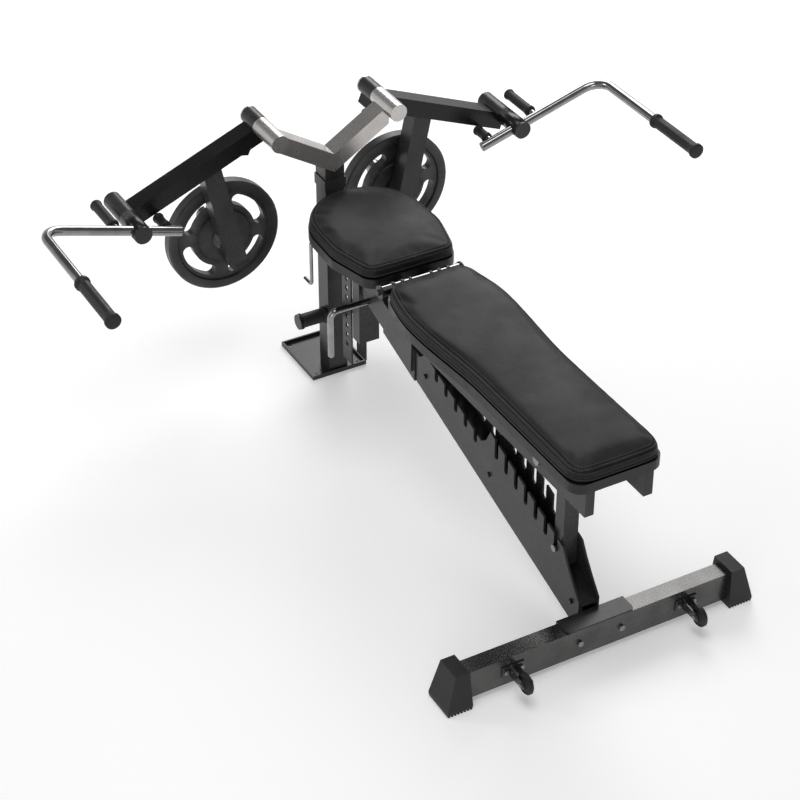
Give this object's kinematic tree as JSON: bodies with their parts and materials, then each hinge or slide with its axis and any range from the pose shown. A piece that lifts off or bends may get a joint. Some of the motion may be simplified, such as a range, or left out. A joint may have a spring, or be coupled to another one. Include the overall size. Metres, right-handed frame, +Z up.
{
  "type": "lat pulldown machine",
  "caption": "Adjustable bench with a padded back and seat, a toothed prop ladder, and a column with twin plate loaded lever arms and swivelling handles",
  "frame": {"origin": "on the floor, under the middle of the whole machine", "axes": "X across the bench to the right as seen from the foot bar, Y from the foot bar to the column, Z up"},
  "size_m": [1.8004, 1.809, 0.864],
  "materials": {
    "bar_metal": "satin metallic grey",
    "yoke_metal": "satin silver grey",
    "zinc_bolt": "zinc plated",
    "black_paint": "satin black powder coat",
    "chrome": "polished",
    "rubber": "matt black",
    "plate_iron": "black enamel",
    "pad_shell": "black moulded shell",
    "hide": "black grained upholstery"
  },
  "bodies": {
    "frame": {"foot_bar": "bar_metal", "foot_cap_left": "rubber", "foot_cap_right": "rubber", "saddle_bracket": "black_paint", "saddle_bolts": "zinc_bolt", "caster_bracket_left": "bar_metal", "caster_bracket_right": "bar_metal", "caster_bolts": "zinc_bolt", "caster_axles": "zinc_bolt", "main_beam": "black_paint", "beam_sleeve": "black_paint", "ladder_plate_left": "black_paint", "ladder_plate_right": "black_paint", "ladder_bolts": "black_paint", "hinge_tower": "black_paint", "hinge_tube": "chrome", "hinge_caps": "black_paint", "front_tube": "black_paint", "link_tube": "black_paint", "rack_plates": "black_paint", "base_tray": "black_paint", "column": "black_paint", "column_band": "black_paint", "roller_axle": "black_paint", "yoke": "yoke_metal", "arm_shafts": "yoke_metal", "arm_shaft_caps": "yoke_metal", "arm_bumpers": "rubber"},
    "arm_left": {"arm_left": "black_paint", "strut_left": "black_paint", "horn_left": "chrome", "plate_collars_left": "zinc_bolt", "swivel_stem_left": "black_paint"},
    "arm_right": {"arm_right": "black_paint", "strut_right": "black_paint", "horn_right": "chrome", "plate_collars_right": "zinc_bolt", "swivel_stem_right": "black_paint"},
    "handle_left": {"handle_left": "chrome", "handle_grip_left": "rubber"},
    "handle_right": {"handle_right": "chrome", "handle_grip_right": "rubber"},
    "plate_left": {"weight_plate_left": "plate_iron"},
    "plate_right": {"weight_plate_right": "plate_iron"},
    "back": {"back_pad": "hide", "back_board": "pad_shell", "back_rails": "black_paint", "prop_rod": "zinc_bolt"},
    "prop": {"back_prop": "black_paint", "prop_pin": "zinc_bolt"},
    "seat": {"seat_pad": "hide", "seat_board": "pad_shell", "seat_arms": "black_paint"},
    "release": {"seat_release": "chrome"},
    "pin": {"height_pin": "chrome"},
    "wheel_left": {"caster_wheel_left": "rubber"},
    "wheel_right": {"caster_wheel_right": "rubber"},
    "roller_left": {"foot_roller_left": "rubber"},
    "roller_right": {"foot_roller_right": "rubber"}
  },
  "joints": [
    {"name": "arm_left_pivot", "type": "hinge", "parent": "frame", "child": "arm_left", "pos_m": [-0.184, 0.6925, 0.838], "axis": [0, 1, 0], "range_deg": [0, 55]},
    {"name": "handle_left_swivel", "type": "hinge", "parent": "arm_left", "child": "handle_left", "pos_m": [-0.599, 0.6025, 0.669], "axis": [0, 1, 0], "range_deg": [-25, 25]},
    {"name": "plate_left_spin", "type": "hinge", "parent": "arm_left", "child": "plate_left", "pos_m": [-0.28, 0.7775, 0.474], "axis": [0, 1, 0], "continuous": true},
    {"name": "wheel_left_spin", "type": "hinge", "parent": "frame", "child": "wheel_left", "pos_m": [-0.259, -0.8755, 0.06], "axis": [1, 0, 0], "continuous": true},
    {"name": "roller_left_spin", "type": "hinge", "parent": "frame", "child": "roller_left", "pos_m": [-0.074, 0.6245, 0.204], "axis": [1, 0, 0], "continuous": true},
    {"name": "arm_right_pivot", "type": "hinge", "parent": "frame", "child": "arm_right", "pos_m": [0.184, 0.6925, 0.838], "axis": [0, -1, 0], "range_deg": [0, 55]},
    {"name": "handle_right_swivel", "type": "hinge", "parent": "arm_right", "child": "handle_right", "pos_m": [0.599, 0.6025, 0.669], "axis": [0, -1, 0], "range_deg": [-25, 25]},
    {"name": "plate_right_spin", "type": "hinge", "parent": "arm_right", "child": "plate_right", "pos_m": [0.28, 0.7775, 0.474], "axis": [0, 1, 0], "continuous": true},
    {"name": "wheel_right_spin", "type": "hinge", "parent": "frame", "child": "wheel_right", "pos_m": [0.259, -0.8755, 0.06], "axis": [1, 0, 0], "continuous": true},
    {"name": "roller_right_spin", "type": "hinge", "parent": "frame", "child": "roller_right", "pos_m": [0.074, 0.6245, 0.204], "axis": [1, 0, 0], "continuous": true},
    {"name": "back_recline", "type": "hinge", "parent": "frame", "child": "back", "pos_m": [0, 0.1165, 0.598], "axis": [-1, 0, 0], "range_deg": [0, 55]},
    {"name": "prop_swing", "type": "hinge", "parent": "back", "child": "prop", "pos_m": [0, -0.6355, 0.53], "axis": [-1, 0, 0], "range_deg": [-55, 0]},
    {"name": "seat_tilt", "type": "hinge", "parent": "frame", "child": "seat", "pos_m": [0, 0.1165, 0.598], "axis": [1, 0, 0], "range_deg": [0, 12]},
    {"name": "seat_release_swing", "type": "hinge", "parent": "seat", "child": "release", "pos_m": [-0.156, 0.4565, 0.573], "axis": [1, 0, 0], "range_deg": [0, 20]},
    {"name": "height_pin_slide", "type": "slide", "parent": "frame", "child": "pin", "axis": [-1, 0, 0], "range_m": [0, 0.06]}
  ],
  "couplings": [
    {"joint": "prop_swing", "follows": "back_recline", "ratio": -1}
  ]
}
